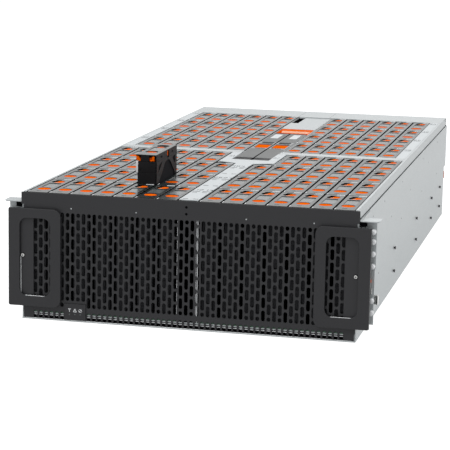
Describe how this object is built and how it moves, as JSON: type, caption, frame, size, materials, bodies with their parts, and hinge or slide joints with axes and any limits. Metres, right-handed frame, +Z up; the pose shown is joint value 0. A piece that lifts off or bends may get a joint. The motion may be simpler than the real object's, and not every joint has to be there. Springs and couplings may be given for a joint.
{
  "type": "disk shelf enclosure",
  "caption": "Rack-mount disk shelf enclosure with a perforated front, rack handles, upright drive carriers loaded from the top, pull-out fans, power supplies and I/O modules.",
  "frame": {"origin": "bottom centre of the bounding box, on the surface that the chassis floor rests on", "axes": "+X to the enclosure's right as seen from the front, +Y towards the rear, +Z up; the perforated front faces -Y"},
  "size_m": [0.499, 1.004, 0.2102],
  "materials": {
    "black_panel": "fine matt black powder coat",
    "silver_sheet": "satin zinc-plated sheet",
    "pale_strip": "matt off-white label film",
    "carrier_grey": "satin mid-grey moulding",
    "carrier_black": "satin black moulding",
    "latch_orange": "satin orange moulding",
    "drive_silver": "cast and machined aluminium",
    "board_green": "solder-masked board",
    "screw_steel": "bright zinc",
    "fan_black": "matt black moulding",
    "module_grey": "satin grey sheet"
  },
  "bodies": {
    "root": {"chassis_tub": "silver_sheet", "top_side_rails": "silver_sheet", "drive_deck": "silver_sheet", "backplane_front": "board_green", "backplane_rear": "board_green", "center_divider": "silver_sheet", "center_strip": "pale_strip", "bay_walls": "silver_sheet", "cross_bar": "silver_sheet", "rear_side_strips": "pale_strip", "rear_cover": "silver_sheet", "rear_shelf": "silver_sheet", "rear_panel": "silver_sheet", "center_rear_plate": "silver_sheet", "front_panel": "black_panel", "led_panel": "black_panel", "handle_left": "black_panel", "handle_right": "black_panel", "ear_screws": "screw_steel", "rail_brackets": "silver_sheet", "rail_latch_pivots": "silver_sheet", "bail_seat": "latch_orange", "front_carriers_left": "carrier_grey", "front_carriers_right": "carrier_grey", "rear_carriers_left": "carrier_grey", "rear_carriers_right": "carrier_grey"},
    "lifted_carrier": {"carrier_frame": "carrier_black", "carrier_drive": "drive_silver", "carrier_cap": "carrier_grey"},
    "carrier_latch_front": {"carrier_latch_front": "latch_orange"},
    "carrier_latch_rear": {"carrier_latch_rear": "latch_orange"},
    "center_bail": {"center_bail": "latch_orange"},
    "rail_latch_left": {"rail_latch_left": "screw_steel"},
    "rail_latch_right": {"rail_latch_right": "screw_steel"},
    "expander_a": {"expander_a": "module_grey"},
    "expander_latch_a": {"expander_latch_a": "latch_orange"},
    "expander_b": {"expander_b": "module_grey"},
    "expander_latch_b": {"expander_latch_b": "latch_orange"},
    "psu_a": {"psu_a": "silver_sheet", "psu_handle_a": "fan_black"},
    "psu_latch_a": {"psu_latch_a": "latch_orange"},
    "psu_b": {"psu_b": "silver_sheet", "psu_handle_b": "fan_black"},
    "psu_latch_b": {"psu_latch_b": "latch_orange"},
    "io_module_a": {"io_module_a": "silver_sheet"},
    "io_lever_a": {"io_lever_a": "latch_orange"},
    "io_module_b": {"io_module_b": "silver_sheet"},
    "io_lever_b": {"io_lever_b": "latch_orange"},
    "fan_1": {"fan_frame_1": "fan_black"},
    "fan_rotor_1": {"fan_rotor_1": "fan_black"},
    "fan_latch_1": {"fan_latch_1": "latch_orange"},
    "fan_2": {"fan_frame_2": "fan_black"},
    "fan_rotor_2": {"fan_rotor_2": "fan_black"},
    "fan_latch_2": {"fan_latch_2": "latch_orange"},
    "fan_3": {"fan_frame_3": "fan_black"},
    "fan_rotor_3": {"fan_rotor_3": "fan_black"},
    "fan_latch_3": {"fan_latch_3": "latch_orange"},
    "fan_4": {"fan_frame_4": "fan_black"},
    "fan_rotor_4": {"fan_rotor_4": "fan_black"},
    "fan_latch_4": {"fan_latch_4": "latch_orange"}
  },
  "joints": [
    {"name": "carrier_lift", "type": "slide", "parent": "root", "child": "lifted_carrier", "axis": [0, 0, 1], "range_m": [-0.04, 0.13]},
    {"name": "carrier_latch_front_pinch", "type": "slide", "parent": "lifted_carrier", "child": "carrier_latch_front", "axis": [0, 1, 0], "range_m": [0, 0.0014], "stiffness_N_per_m": 400},
    {"name": "carrier_latch_rear_pinch", "type": "slide", "parent": "lifted_carrier", "child": "carrier_latch_rear", "axis": [0, -1, 0], "range_m": [0, 0.0014], "stiffness_N_per_m": 400},
    {"name": "expander_a_lift", "type": "slide", "parent": "root", "child": "expander_a", "axis": [0, 0, 1], "range_m": [0, 0.165]},
    {"name": "expander_latch_a_hinge", "type": "hinge", "parent": "expander_a", "child": "expander_latch_a", "pos_m": [-0.01392, 0.052, 0.1677], "axis": [-1, 0, 0], "range_deg": [0, 55]},
    {"name": "expander_b_lift", "type": "slide", "parent": "root", "child": "expander_b", "axis": [0, 0, 1], "range_m": [0, 0.165]},
    {"name": "expander_latch_b_hinge", "type": "hinge", "parent": "expander_b", "child": "expander_latch_b", "pos_m": [0.01392, 0.052, 0.1677], "axis": [-1, 0, 0], "range_deg": [0, 55]},
    {"name": "center_bail_hinge", "type": "hinge", "parent": "root", "child": "center_bail", "pos_m": [0, 0.203, 0.167], "axis": [1, 0, 0], "range_deg": [0, 95]},
    {"name": "psu_a_slide", "type": "slide", "parent": "root", "child": "psu_a", "axis": [0, 1, 0], "range_m": [0, 0.21]},
    {"name": "psu_latch_a_press", "type": "slide", "parent": "psu_a", "child": "psu_latch_a", "axis": [1, 0, 0], "range_m": [0, 0.004], "stiffness_N_per_m": 400},
    {"name": "psu_b_slide", "type": "slide", "parent": "root", "child": "psu_b", "axis": [0, 1, 0], "range_m": [0, 0.21]},
    {"name": "psu_latch_b_press", "type": "slide", "parent": "psu_b", "child": "psu_latch_b", "axis": [1, 0, 0], "range_m": [0, 0.004], "stiffness_N_per_m": 400},
    {"name": "io_module_a_slide", "type": "slide", "parent": "root", "child": "io_module_a", "axis": [0, 1, 0], "range_m": [0, 0.23]},
    {"name": "io_lever_a_hinge", "type": "hinge", "parent": "io_module_a", "child": "io_lever_a", "pos_m": [-0.0237, 0.4813, 0.1621], "axis": [0, 0, 1], "range_deg": [0, 60]},
    {"name": "io_module_b_slide", "type": "slide", "parent": "root", "child": "io_module_b", "axis": [0, 1, 0], "range_m": [0, 0.23]},
    {"name": "io_lever_b_hinge", "type": "hinge", "parent": "io_module_b", "child": "io_lever_b", "pos_m": [0.0237, 0.4813, 0.1621], "axis": [0, 0, -1], "range_deg": [0, 60]},
    {"name": "fan_1_slide", "type": "slide", "parent": "root", "child": "fan_1", "axis": [0, 1, 0], "range_m": [0, 0.09]},
    {"name": "fan_1_spin", "type": "hinge", "parent": "fan_1", "child": "fan_rotor_1", "pos_m": [-0.17253, 0.459, 0.12725], "axis": [0, 1, 0], "continuous": true},
    {"name": "fan_latch_1_hinge", "type": "hinge", "parent": "fan_1", "child": "fan_latch_1", "pos_m": [-0.17253, 0.4985, 0.083], "axis": [1, 0, 0], "range_deg": [0, 35]},
    {"name": "fan_2_slide", "type": "slide", "parent": "root", "child": "fan_2", "axis": [0, 1, 0], "range_m": [0, 0.09]},
    {"name": "fan_2_spin", "type": "hinge", "parent": "fan_2", "child": "fan_rotor_2", "pos_m": [-0.07687, 0.459, 0.12725], "axis": [0, 1, 0], "continuous": true},
    {"name": "fan_latch_2_hinge", "type": "hinge", "parent": "fan_2", "child": "fan_latch_2", "pos_m": [-0.07687, 0.4985, 0.083], "axis": [1, 0, 0], "range_deg": [0, 35]},
    {"name": "fan_3_slide", "type": "slide", "parent": "root", "child": "fan_3", "axis": [0, 1, 0], "range_m": [0, 0.09]},
    {"name": "fan_3_spin", "type": "hinge", "parent": "fan_3", "child": "fan_rotor_3", "pos_m": [0.07687, 0.459, 0.12725], "axis": [0, 1, 0], "continuous": true},
    {"name": "fan_latch_3_hinge", "type": "hinge", "parent": "fan_3", "child": "fan_latch_3", "pos_m": [0.07687, 0.4985, 0.083], "axis": [1, 0, 0], "range_deg": [0, 35]},
    {"name": "fan_4_slide", "type": "slide", "parent": "root", "child": "fan_4", "axis": [0, 1, 0], "range_m": [0, 0.09]},
    {"name": "fan_4_spin", "type": "hinge", "parent": "fan_4", "child": "fan_rotor_4", "pos_m": [0.17253, 0.459, 0.12725], "axis": [0, 1, 0], "continuous": true},
    {"name": "fan_latch_4_hinge", "type": "hinge", "parent": "fan_4", "child": "fan_latch_4", "pos_m": [0.17253, 0.4985, 0.083], "axis": [1, 0, 0], "range_deg": [0, 35]},
    {"name": "rail_latch_left_hinge", "type": "hinge", "parent": "root", "child": "rail_latch_left", "pos_m": [-0.2295, -0.47, 0.052], "axis": [0, 0, -1], "range_deg": [0, 35]},
    {"name": "rail_latch_right_hinge", "type": "hinge", "parent": "root", "child": "rail_latch_right", "pos_m": [0.2295, -0.47, 0.052], "axis": [0, 0, 1], "range_deg": [0, 35]}
  ]
}
